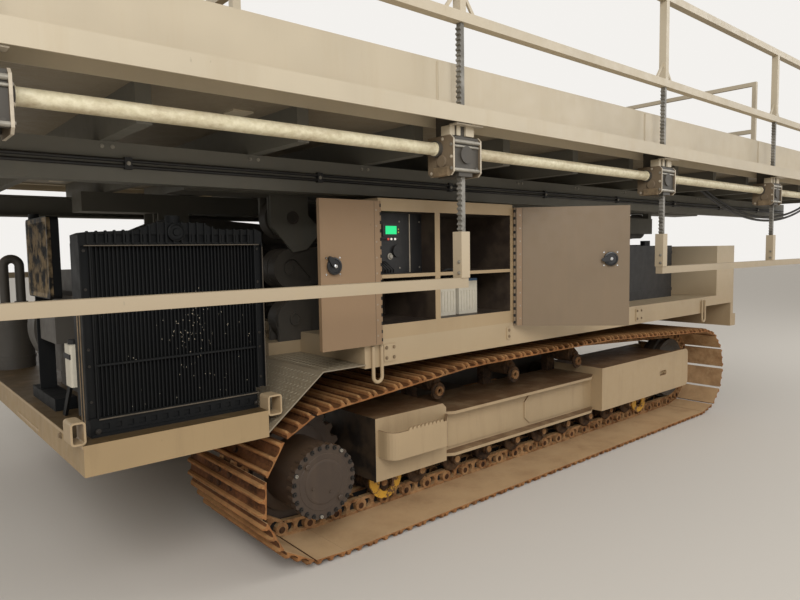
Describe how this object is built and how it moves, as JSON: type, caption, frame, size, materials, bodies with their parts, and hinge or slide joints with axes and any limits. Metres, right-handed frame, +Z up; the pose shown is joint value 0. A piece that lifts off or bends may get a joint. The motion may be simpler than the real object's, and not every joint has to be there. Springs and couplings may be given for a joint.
{
  "type": "tracked scissor-lift work platform",
  "caption": "Self-propelled work platform: long railed deck on a folded double scissor, carried by a fixed chassis on excavator-type steel tracks.",
  "frame": {"origin": "on the floor, under the middle of the deck", "axes": "+X along the machine, away from the engine and the sprockets; +Y across it to the far side; +Z up"},
  "size_m": [8.9, 4.6, 3.395],
  "materials": {
    "paint": "satin warm grey paint with dust and scuffs",
    "dark_steel": "dark brown-grey paint, dusty",
    "track_rust": "rusty track steel, dusty tan in the hollows",
    "black": "black semi-gloss with dust",
    "chequer": "worn chequer plate",
    "galvanised": "mottled galvanised pipe with rust stains",
    "yellow": "chipped yellow paint",
    "ivory": "white moulded plastic",
    "rod_chrome": "polished rod"
  },
  "bodies": {
    "base": {"track_near": "track_rust", "track_far": "track_rust", "track_frame_near": "paint", "track_frame_far": "paint", "car_body": "dark_steel", "final_drives": "black", "idlers": "dark_steel", "carrier_rollers": "dark_steel", "bottom_rollers": "dark_steel", "track_guides": "yellow", "chassis_frame": "paint", "scissor_mounts": "dark_steel", "rear_platform": "paint", "mudguards": "chequer", "tie_loops": "paint", "receiver_tubes": "paint", "cabinet": "paint", "control_panel": "black", "batteries": "ivory", "radiators": "black", "engine": "dark_steel", "air_cleaner": "dark_steel", "expansion_bottle": "ivory", "hydraulic_tank": "black", "fuel_tank": "paint", "front_box": "paint"},
    "door_left": {"door_left": "paint"},
    "door_right": {"door_right": "paint"},
    "lower_outer_arms": {"arms_lower_outer": "dark_steel"},
    "lower_inner_arms": {"arms_lower_inner": "dark_steel"},
    "upper_outer_arms": {"arms_upper_outer": "dark_steel"},
    "upper_inner_arms": {"arms_upper_inner": "dark_steel"},
    "lift_barrels": {"lift_barrels": "dark_steel"},
    "lift_rods": {"lift_rods": "rod_chrome"},
    "deck": {"deck_beams": "dark_steel", "deck_lines": "black", "deck_cross_members": "dark_steel", "deck_floor": "chequer", "deck_edges": "paint", "gearboxes": "dark_steel", "end_guard_rails": "paint", "end_guard_posts": "paint"},
    "guard_near": {"guard_rails_near": "paint", "guard_posts_near": "paint"},
    "guard_far": {"guard_rails_far": "paint", "guard_posts_far": "paint"},
    "torque_shaft_near": {"torque_shaft_near": "galvanised"},
    "torque_shaft_far": {"torque_shaft_far": "galvanised"}
  },
  "joints": [
    {"name": "lift", "type": "hinge", "parent": "base", "child": "lower_outer_arms", "pos_m": [-2.31, 0, 1.25], "axis": [0, -1, 0], "range_deg": [0, 37.5]},
    {"name": "lower_cross", "type": "hinge", "parent": "lower_outer_arms", "child": "lower_inner_arms", "pos_m": [-0.23, 0, 1.405], "axis": [0, -1, 0], "range_deg": [-75, 0]},
    {"name": "knuckle", "type": "hinge", "parent": "lower_inner_arms", "child": "upper_outer_arms", "pos_m": [-2.31, 0, 1.56], "axis": [0, -1, 0], "range_deg": [0, 75]},
    {"name": "upper_cross", "type": "hinge", "parent": "upper_outer_arms", "child": "upper_inner_arms", "pos_m": [-0.23, 0, 1.715], "axis": [0, -1, 0], "range_deg": [-75, 0]},
    {"name": "deck_level", "type": "hinge", "parent": "upper_inner_arms", "child": "deck", "pos_m": [-2.31, 0, 1.87], "axis": [0, -1, 0], "range_deg": [0, 37.5]},
    {"name": "cylinder_swing", "type": "hinge", "parent": "base", "child": "lift_barrels", "pos_m": [-1.7, 0, 1.16], "axis": [0, -1, 0], "range_deg": [0, 45]},
    {"name": "cylinder_stroke", "type": "slide", "parent": "lift_barrels", "child": "lift_rods", "axis": [0.9974, 0, 0.0724], "range_m": [0, 0.20814]},
    {"name": "guard_near_rise", "type": "slide", "parent": "deck", "child": "guard_near", "axis": [0, 0, 1], "range_m": [-0.38, 0.25]},
    {"name": "guard_far_rise", "type": "slide", "parent": "deck", "child": "guard_far", "axis": [0, 0, 1], "range_m": [-0.38, 0.25]},
    {"name": "shaft_near_turn", "type": "hinge", "parent": "deck", "child": "torque_shaft_near", "pos_m": [0, -2.157, 2.155], "axis": [1, 0, 0], "range_deg": [-545.3, 359.1]},
    {"name": "shaft_far_turn", "type": "hinge", "parent": "deck", "child": "torque_shaft_far", "pos_m": [0, 2.157, 2.155], "axis": [-1, 0, 0], "range_deg": [-545.3, 359.1]},
    {"name": "left_door_hinge", "type": "hinge", "parent": "base", "child": "door_left", "pos_m": [-2.175, -1.7373, 1.54], "axis": [0, 0, 1], "range_deg": [0, 180]},
    {"name": "right_door_hinge", "type": "hinge", "parent": "base", "child": "door_right", "pos_m": [-1.03, -1.7373, 1.54], "axis": [0, 0, 1], "range_deg": [-133, 45]}
  ],
  "couplings": [
    {"joint": "lower_cross", "follows": "lift", "ratio": -2},
    {"joint": "knuckle", "follows": "lift", "ratio": 2},
    {"joint": "upper_cross", "follows": "lift", "ratio": -2},
    {"joint": "deck_level", "follows": "lift", "ratio": 1},
    {"joint": "cylinder_swing", "follows": "lift", "ratio": 1.2},
    {"joint": "cylinder_stroke", "follows": "lift", "m_per_rad": 0.31799},
    {"joint": "shaft_near_turn", "follows": "guard_near_rise", "rad_per_m": 25},
    {"joint": "shaft_far_turn", "follows": "guard_far_rise", "rad_per_m": 25}
  ]
}
